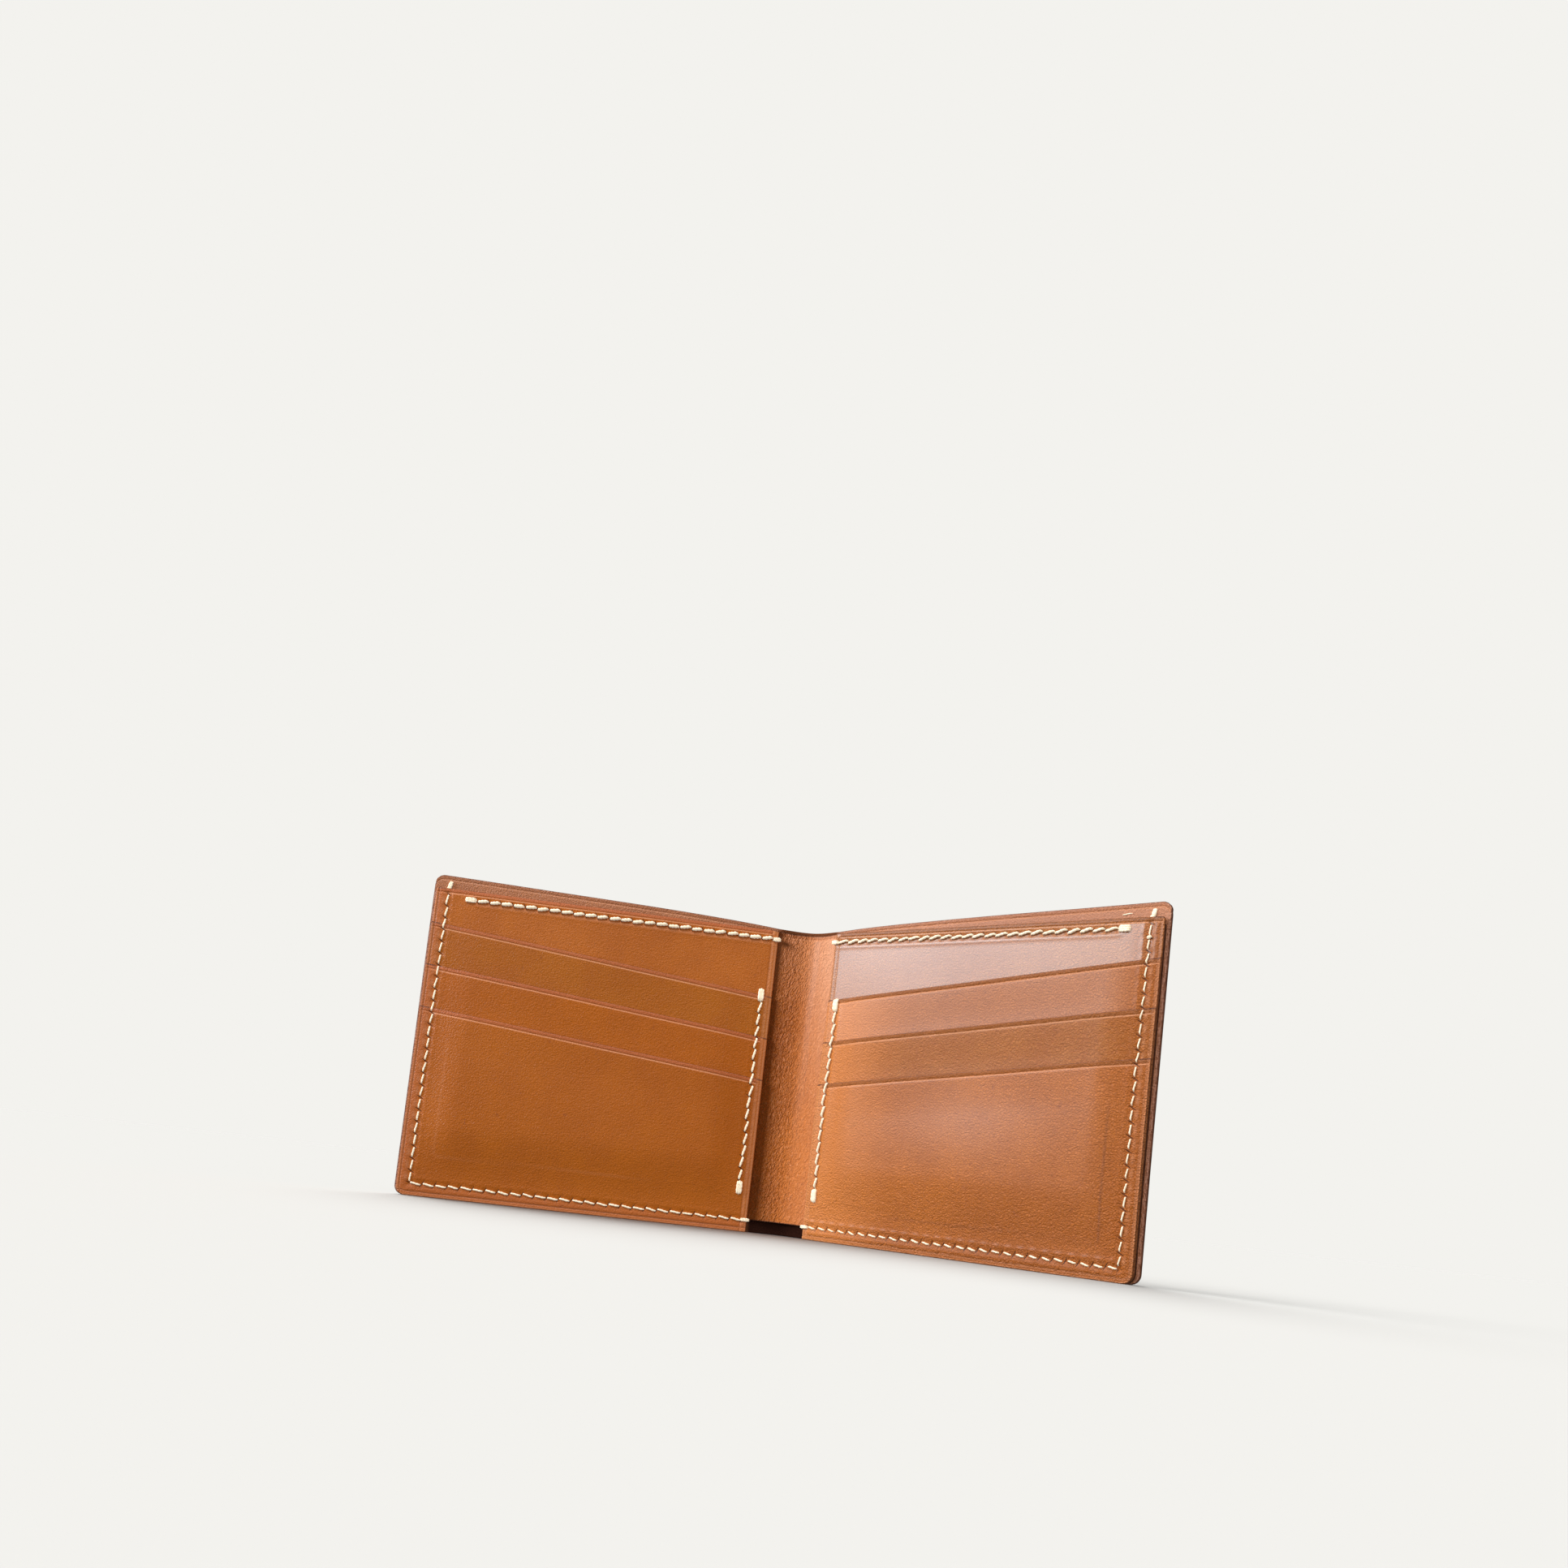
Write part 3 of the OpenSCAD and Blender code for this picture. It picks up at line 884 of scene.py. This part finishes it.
def leather(name, light, deep, gloss, coat, grain, coarse=0.0, pucker=0.0, fibre=0.0,
            under=None, mouth=None, polished_to=None, rim=None):
    """Vegetable-tanned leather: mottled colour, pores, fine grain, awl slits, creases and burnished edges.

    under is the colour where the second mask is set: painted light on the panels and the lining, and the
    near-black painted shade of the cover's flesh side.
    mouth is the colour above a slot's crease, which on the left half is painted sheen. The polish ends at
    polished_to, along u, and past it the colour turns darker as painted shade. rim is the painted highlight
    colour where the edge mask is RIM_MASK.
    """
    n = Nodes(bpy.data.materials.new(name))
    place = n.add("Attribute", attribute_name="place").outputs["Vector"]
    marks = n.add("Attribute", attribute_name="finish")
    split = n.add("SeparateColor", {0: marks.outputs["Color"]})
    edge_paint_and_painted_light_mask, flesh_shade_and_light_mask, lit_mask = split.outputs
    band_mask = marks.outputs["Alpha"]
    slits = n.add("SeparateXYZ", {0: n.add("Attribute", attribute_name="slits").outputs["Vector"]})
    turn, across, present = slits.outputs

    apart = n.math("SUBTRACT", turn, n.math("ROUND", turn))
    wide, tall = n.times(apart, PITCH / SLIT_WIDTH), n.times(across, 1 / SLIT_REACH)
    lens = n.add("CombineXYZ", {0: wide, 1: tall, 2: 0.0})
    size = n.add("VectorMath", {0: lens.outputs[0]}, operation="LENGTH").outputs["Value"]
    slit = n.times(n.rest(n.ramp(size, 0.65, 1.1)), present)

    slow = n.noise(place, 0.03, 2.0)
    cloud = n.noise(n.stretched(place, 1.0, 0.7, 1.0), 0.14, 4.0, 0.55)
    fine = n.noise(place, 2.2, 4.0, 0.65)
    pebble = n.noise(place, 1.6, 2.5, 0.6, 0.3)
    streak = n.noise(n.stretched(place, 1.0, 0.25, 1.0), 2.4, 3.0, 0.6)
    spots = n.noise(n.stretched(place, 1.0, 1.0, 3.0), 0.42, 2.0, 0.4)
    cells = n.add("TexVoronoi", {"Vector": place, "Scale": 1.5}, feature="DISTANCE_TO_EDGE")
    valley = n.rest(n.ramp(cells.outputs["Distance"], 0.0, 0.2))

    tone = n.plus(n.times(slow, 0.6), n.times(cloud, 0.4))
    base = n.tint(light, n.ramp(tone, 0.34, 0.66), MOTTLE, deep)
    base = n.tint(base, n.ramp(fine, 0.42, 0.72), 0.22, deep)
    base = n.tint(base, valley, 0.10 * grain, deep)
    base = n.tint(base, n.ramp(spots, 0.71, 0.80), 0.35, SPOT)
    if coarse:
        folds = n.noise(n.stretched(place, 1.0, 0.5, 1.0, COARSE_LEAN), 1.5, 2.5, 0.6, 0.9)
        # painted highlight on the lining's fold ridges and painted shade in their hollows
        base = n.tint(base, n.ramp(folds, 0.5, 0.72), 0.45, n.mix(0.28, light, PAINTED_HIGHLIGHT))
        base = n.tint(base, n.ramp(folds, 0.5, 0.3), 0.35, deep)
    # Past polished_to the coat stops and the colour turns darker: painted shade where the polish's sheen
    # ends. Near the foot it turns darker and loses its coat too.
    if polished_to:
        at = n.add("SeparateXYZ", {0: place})
        past = n.ramp(at.outputs[0], polished_to - 6.0, polished_to + 5.0)
        unpolished_and_darker = n.most(past, n.rest(n.ramp(at.outputs[1], 1.5, 8.0)))
        base = n.tint(base, unpolished_and_darker, 0.5, deep)
    # the second mask: painted light on the panels and the lining, near-black painted shade on the cover's
    # flesh side
    base = n.tint(base, flesh_shade_and_light_mask, 0.96, under or SHADED_FLESH, True)
    # band above each slot's crease and along the margins; the left half's pinkish mouth colour is painted
    # sheen
    base = n.tint(base, band_mask, 0.75, mouth or deep)
    # painted highlights on creases, ridges and rounded edges
    base = n.tint(base, lit_mask, 0.62, n.mix(0.6, light, PAINTED_HIGHLIGHT))
    streaks = n.ramp(streak, 0.35, 0.65)
    edge = n.mix(streaks, EDGE_DARK, EDGE_LIGHT)
    # the cover's right rim takes the rim colour, a painted highlight
    if rim:
        edge = n.mix(n.ramp(edge_paint_and_painted_light_mask, RIM_MASK, 1.0), n.mix(streaks, EDGE_LIGHT, rim), edge)
    # edge paint, and painted shade where the creases and the stems' outline set the edge mask
    base = n.tint(base, edge_paint_and_painted_light_mask, 0.92, edge, True)
    # awl slits painted dark: painted shade in the cut
    base = n.tint(base, slit, 0.9, SLIT_SHADE, True)

    rough = n.plus(gloss - 0.06, n.times(cloud, 0.12))
    rough = n.plus(rough, n.times(slit, 0.4, True))
    dull = n.most(n.most(lit_mask, edge_paint_and_painted_light_mask), n.times(band_mask, 0.8))
    if not under:
        dull = n.most(dull, flesh_shade_and_light_mask)
    if polished_to:
        dull = n.most(dull, n.times(unpolished_and_darker, 0.85))
    polish = n.times(coat, n.rest(dull, True))

    height = n.pile(n.times(valley, -0.6 * grain), fine, 0.8 * grain)
    height = n.pile(height, pebble, 2.4 * grain)
    height = n.pile(height, slit, -2.0)
    if coarse:
        height = n.pile(height, folds, coarse)
    if pucker:
        near = n.rest(n.ramp(n.math("ABSOLUTE", across), 1.0, 8.0))
        pulled = n.noise(n.stretched(place, 0.5, 1.0, 1.0), 1.1, 3.0, 0.5, 1.2)
        height = n.pile(height, n.times(pulled, near), pucker)
    if fibre:
        height = n.pile(height, streak, fibre)
    bump = n.add("Bump", {"Height": height, "Strength": 0.6, "Distance": LEATHER_BUMP})
    specular = SPECULAR if under else n.times(n.rest(flesh_shade_and_light_mask, True), SPECULAR)
    n.surface({
        "Base Color": base, "Roughness": rough, "Normal": bump.outputs[0], "IOR": 1.5,
        "Specular IOR Level": specular, "Coat Weight": polish, "Coat Roughness": 0.34,
    })
    return n.owner


def waxed_thread(name, pale, shade):
    """Cream waxed linen: two plies that show as slanted lines, with painted shade in between, and a faint
    glow of its own, painted light that keeps its shaded side bright.
    """
    n = Nodes(bpy.data.materials.new(name))
    place = n.add("Attribute", attribute_name="place").outputs["Vector"]
    fuzz = n.noise(n.stretched(place, 6.0, 1.5, 1.0), 1.6, 4.0, 0.6)
    spots = n.noise(place, 0.5, 2.0)
    base = n.mix(n.ramp(fuzz, 0.35, 0.7), shade, pale)
    base = n.tint(base, n.ramp(spots, 0.5, 0.75), 0.35, shade)
    bump = n.add("Bump", {"Height": fuzz, "Strength": 0.5, "Distance": THREAD_BUMP})
    # the emission is painted light: the thread glows a little
    n.surface({"Base Color": base, "Roughness": 0.55, "Normal": bump.outputs[0], "Sheen Weight": 0.2,
               "Sheen Roughness": 0.4, "Emission Color": pale, "Emission Strength": 0.2})
    return n.owner


MOTTLE = 0.5
SPECULAR = 0.3
LEATHER_BUMP, THREAD_BUMP = 0.00009, 0.00006
COARSE_LEAN = math.radians(18)
EDGE_DARK, EDGE_LIGHT = colour(78, 42, 28), colour(126, 78, 56)
# colour of the painted highlights on creases, ridges, rounded edges and the lining's fold ridges
PAINTED_HIGHLIGHT = colour(244, 186, 152)
SPOT = colour(120, 56, 22)
# near-black painted shade on the cover's flesh side at the foot of the fold
SHADED_FLESH = colour(26, 11, 13)
# painted shade in the awl slits
SLIT_SHADE = colour(62, 29, 16)
# painted light on the right half's pockets near the fold side
PALE = colour(228, 138, 60)
# painted light on the lining in the fold, paler to its right side and top
PAINTED_FOLD_LIGHT = colour(246, 196, 166)
LINING = leather("lining", colour(192, 106, 22), colour(146, 70, 8), 0.48, 0.1, 2.6, coarse=20.0,
                 under=PAINTED_FOLD_LIGHT)
# the cover's rim colour is a painted highlight on its right rim
COVER = leather("cover", colour(186, 120, 78), colour(156, 94, 58), 0.5, 0.15, 2.4, fibre=0.4,
                rim=colour(188, 142, 124))
CREAM = waxed_thread("cream_thread", colour(255, 248, 228), colour(228, 204, 164))

# The card panel and the upper, middle and front pockets of each half
PANEL_WORDS = ("panel", "upper", "middle", "front")
PANEL_COLOURS = {
    "left": [colour(186, 102, 22), colour(175, 98, 10), colour(182, 97, 8), colour(180, 97, 14)],
    "right": [colour(182, 110, 36), colour(187, 109, 38), colour(177, 107, 38), colour(193, 110, 31)],
}
PANEL_COATS = {"left": [0.12, 0.05, 0.05, 0.05], "right": [0.97, 0.46, 0.24, 0.43]}
POLISHED_TO = {"left": [None] * 4, "right": [93.0, 90.0, 88.0, 89.0]}
PANEL_DEEP = {"left": colour(158, 80, 8), "right": colour(154, 81, 20)}
# the left half's pinkish mouth colour is painted sheen
MOUTHS = {"left": colour(184, 102, 62), "right": colour(146, 84, 34)}
GRAIN_AND_PUCKER = {"left": (1.2, 1.0), "right": (5.2, 5.0)}
PANEL_GLOSS = 0.44


def panel_leathers(half):
    """The leather of each layer of a half. They take the dye and the polish unevenly."""
    name = half.name
    grain, pucker = GRAIN_AND_PUCKER[name]
    looks = zip(PANEL_WORDS, PANEL_COLOURS[name], PANEL_COATS[name], POLISHED_TO[name])
    return [leather(f"tan_{name}_{word}", light, PANEL_DEEP[name], PANEL_GLOSS, coat, grain, pucker=pucker,
                    under=PALE, mouth=MOUTHS[name], polished_to=end) for word, light, coat, end in looks]


# ---------------- the wallet

LAYERS = ("card_panel", "upper_pocket", "middle_pocket", "front_pocket")
HIDDEN_BELOW = (0.66, 0.5, 0.5, None)


def build_half(half):
    """The card panel and the three pockets of a half."""
    leathers, edges = panel_leathers(half), edge_rows(half)
    tops = [lambda u: half.height + 0 * u] + [lambda u, n=n: half.slot_z(n, u) for n in (1, 2, 3)]
    lows = [0.0, *half.stems, 0.0]
    for n, layer in enumerate(LAYERS):
        rows = [*edges, inner_row(half) if n else top_row(half)]
        name = f"{half.name}_{layer}"
        piece = panel_piece(half, n, tops[n], lows[n], rows, leathers[n], name, HIDDEN_BELOW[n])
        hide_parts(f"{layer}_{half.name}")


def build_threads(half):
    """Every thread of a half. The far side of the edge rows shows on the outside of the cover."""
    side, look = half.side, STITCHES[half.name]
    height, outer = half.height, half.width - ROW_INSET
    side_row, foot_row = edge_rows(half)
    shown = row_strands(half, side_row, *look["side"])
    shown += row_strands(half, foot_row, *look["foot"])
    shown += tack_strands(half, (outer, height + 1.0), 90 - 12 * side, 2.8, 1.15, 0.2, 2, 3)
    shown += tack_strands(half, (0.6, ROW_INSET), 0.0, 2.6, 0.95, 0.12, 2)
    if side > 0:
        # the sealed knot and the loose tail that only the right half shows
        knot = stitch_points(half, np.array([outer, height - 5.0]), 0.3, KNOT * 2.2, front_face, KNOT * 0.5)
        shown.append((knot, KNOT, 2))
        tail = stitch_points(half, np.array([TAIL_AT, height + 1.3]), 0.02, 2.9, front_face, 0.1, bow=0.2)
        shown.append((tail, 0.13, 6))
    far = row_strands(half, side_row, surface=cover_outside)
    far += row_strands(half, foot_row, surface=cover_outside)
    outside = [(points * [1, 1, -1], radius, blunt) for points, radius, blunt in far]
    thread_piece(half, "edge_thread", shown + outside)

    row = top_row(half)
    end, level = row.start[0] + row.length, row.start[1]
    strands = row_strands(half, row, *look["top"])
    strands += tack_strands(half, (end + 1.7, level), 0.0, 3.3, TOP_TACK_WIDTH[half.name], 0.32, 3)
    strands += tack_strands(half, (0.4, level - 0.1), 0.0, 2.3, 1.25, 0.25, 2, 3)
    thread_piece(half, "top_thread", strands)

    row = inner_row(half)
    strands = row_strands(half, row, *INNER_STITCH)
    for z in (row.start[1] + row.length + 1.9, row.start[1] - 1.9):
        strands += tack_strands(half, (INNER_INSET, z), 90, 3.9, 1.7, 0.3)
    thread_piece(half, "inner_thread", strands)

    for n, word in ((1, "upper"), (2, "middle")):
        start = half.stem_inset + 2
        hem = Row(start, half.stems[n - 1] + 3, 0, half.width - 2 * start, 0, sunk=0.3)
        strands = row_strands(half, hem, radius=0.2, surface=lambda h, u, z, n=n: skin(h, n, u, z))
        thread_piece(half, f"{word}_hem_thread", strands)


def lining_relief(u, z, x):
    """Soft folds that run down the lining where it bends, on its front and its back."""
    inside = fall(u, -2.5, 0.5)
    folds = 0.01 * np.sin(x * 1.3 + 0.9 * np.sin(z * 0.11))
    folds = folds + 0.006 * np.sin(x * 3.3 + 1.4 * np.sin(z * 0.21 + 1))
    return folds * inside, folds * inside * 0.5


def painted_light_in_fold(u, z, x):
    """How far the lining is painted paler in the fold, as painted light: towards its right side and its
    top.
    """
    across, high = rise(x, -3.0, 9.5), rise(z, 25.0, 84.0)
    return (0.1 * across + 0.26 * across * high + 0.1 * rise(z, 60.0, 84.0)) * fall(u, 0.0, 3.0)


def inside_fold(u, z, x):
    """1 on the cover's raw flesh side in the fold, where the lining leaves it open at the foot. It is
    coloured near-black there: painted shade.
    """
    return fall(u, -1.0, 1.5)


def build_sheets():
    right = HALVES[1]
    lining, cover = Sheet("lining"), Sheet("cover")
    cover_top = right.top_edge("cover_right")
    sheet_piece(
        lining, lambda u: lining.fold_low * fall(u, 0.8, 2.6),
        lambda u: lining.fold_high + (right.height - lining.fold_high) * rise(u, -4.0, 1.0),
        lambda half: [], (CORNER, CORNER), lining_relief, painted_light_in_fold, LINING)
    sheet_piece(
        cover, lambda u: 0 * u, lambda u: cover_top(np.maximum(u, 0)),
        edge_rows, (CORNER, COVER_CORNER), None, inside_fold, COVER)


for wallet_half in HALVES:
    build_half(wallet_half)
    build_threads(wallet_half)
build_sheets()


# ---------------- camera, floor and light

CAMERA_PLACE = (0.1058, -0.3252, 0.012)
CAMERA_AZIMUTH, CAMERA_PITCH, CAMERA_ROLL = 17.48, 4.53, 6.41
CAMERA_LENS, CAMERA_SENSOR, CAMERA_SHIFT = 29.33, 36.0, 0.196


def build_camera():
    azimuth, pitch, roll = (math.radians(a) for a in (CAMERA_AZIMUTH, CAMERA_PITCH, CAMERA_ROLL))
    ahead = math.cos(pitch)
    forward = Vector((-math.sin(azimuth) * ahead, math.cos(azimuth) * ahead, math.sin(pitch)))
    level = forward.cross(Vector((0, 0, 1))).normalized()
    over = level.cross(forward)
    right = level * math.cos(roll) + over * math.sin(roll)
    up = over * math.cos(roll) - level * math.sin(roll)
    data = bpy.data.cameras.new("camera")
    data.lens, data.sensor_width, data.shift_y = CAMERA_LENS, CAMERA_SENSOR, CAMERA_SHIFT
    data.clip_start = 0.005
    data.dof.use_dof = False
    camera = linked("camera", data)
    turn = Matrix((right, up, -forward)).transposed().to_4x4()
    camera.matrix_world = Matrix.Translation(CAMERA_PLACE) @ turn
    bpy.context.scene.camera = camera


BACKDROP = colour(243, 242, 238)
AMBIENT, AMBIENT_GLOSS = 0.25, 0.05
FLOOR_GLOW, FLOOR_ALBEDO = 0.04, 0.45


def build_floor():
    """Pale paper that glows a little, so that its shadows stay faint. The wallet takes no light from it."""
    bpy.ops.mesh.primitive_plane_add(size=8.0, location=(0, 0, 0))
    floor = bpy.context.object
    floor.name = "floor"
    floor.visible_diffuse = floor.visible_glossy = False
    n = Nodes(bpy.data.materials.new("paper"))
    n.surface({"Base Color": (FLOOR_ALBEDO, FLOOR_ALBEDO, FLOOR_ALBEDO, 1.0), "Roughness": 1.0,
               "Specular IOR Level": 0.0, "Emission Color": BACKDROP, "Emission Strength": FLOOR_GLOW})
    floor.data.materials.append(n.owner)
    floor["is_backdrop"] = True
    return floor


def build_world():
    """An even pale studio, full to the camera, softer as light and dim in reflections."""
    n = Nodes(bpy.data.worlds.new("studio"), "World")
    bpy.context.scene.world = n.owner
    levels = (AMBIENT, 1.0, AMBIENT_GLOSS)
    lit, seen, mirrored = (n.add("Background", {0: BACKDROP, 1: level}).outputs[0] for level in levels)
    rays = n.add("LightPath").outputs
    direct = n.add("MixShader", {0: rays["Is Camera Ray"], 1: lit, 2: seen}).outputs[0]
    whole = n.add("MixShader", {0: rays["Is Glossy Ray"], 1: direct, 2: mirrored}).outputs[0]
    n.feed(n.out.inputs[0], whole)


def light(name, kind, place, target, watts, receivers, tint=(1.0, 1.0, 1.0), size=None):
    data = bpy.data.lights.new(name, kind)
    if size:
        data.shape, data.size, data.size_y = "RECTANGLE", size[0], size[1]
    data.energy, data.color = watts, tint
    lamp = linked(name, data)
    lamp.location = place
    lamp.rotation_euler = (Vector(target) - Vector(place)).to_track_quat("-Z", "Y").to_euler()
    lamp.light_linking.receiver_collection = receivers
    return lamp


def receivers_of(name, pieces):
    found = bpy.data.collections.new(name)
    for piece in pieces:
        found.objects.link(piece)
    return found


def sun(name, azimuth, elevation, angle, share, paper):
    """A soft sun that only the floor takes, for the wallet's shadow. Angles are in degrees."""
    turn, height = math.radians(azimuth), math.radians(elevation)
    place = (math.cos(height) * math.sin(turn), math.cos(height) * math.cos(turn), math.sin(height))
    strength = ((1 - FLOOR_GLOW) / FLOOR_ALBEDO - AMBIENT) * share
    lamp = light(name, "SUN", place, (0, 0, 0), strength * math.pi / math.sin(height), paper, BACKDROP[:3])
    lamp.data.angle = math.radians(angle)


LIGHT_TARGET = (0.0, 0.0, 0.05)

# Softboxes: place, watts, tint, width and height, and the rays that don't see them
SOFTBOXES = {
    "key_left": ((-0.78, -0.40, 0.40), 9.0, (1.0, 0.98, 0.96), (0.5, 0.4), "glossy"),
    "bloom_left": ((-0.90, -0.60, 0.49), 19.5, (0.70, 0.885, 1.0), (0.6, 0.5), "diffuse"),
    "strip_above": ((0.1, -0.5, 0.8), 4.5, (1.0, 0.96, 0.94), (0.7, 0.25), None),
    "fill_front": ((0.1, -1.3, 0.5), 8.5, (1.0, 0.98, 0.97), (1.6, 1.0), "glossy"),
    "key_fold": ((-0.64, -0.62, 0.34), 14.8, (1.0, 0.97, 0.94), (0.3, 0.3), None),
}


def build_light(floor):
    """Softboxes for the leather, one for the lining alone, and two suns for the floor alone."""
    lining = [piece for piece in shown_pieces() if piece.name.startswith("lining")]
    wallet = receivers_of("lit_by_softboxes", [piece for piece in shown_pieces() if piece not in lining])
    fold = receivers_of("lit_in_the_fold", lining)
    for name, (place, watts, tint, size, unseen) in SOFTBOXES.items():
        receivers = fold if name == "key_fold" else wallet
        lamp = light(name, "AREA", place, LIGHT_TARGET, watts, receivers, tint, size)
        if unseen:
            setattr(lamp, f"visible_{unseen}", False)
    paper = receivers_of("lit_by_sun", [floor])
    sun("sun_behind", -50, 57, 55, 0.8, paper)
    sun("sun_front", -95, 45, 40, 0.2, paper)


build_camera()
build_light(build_floor())
build_world()
bpy.context.scene.view_settings.view_transform = "Standard"
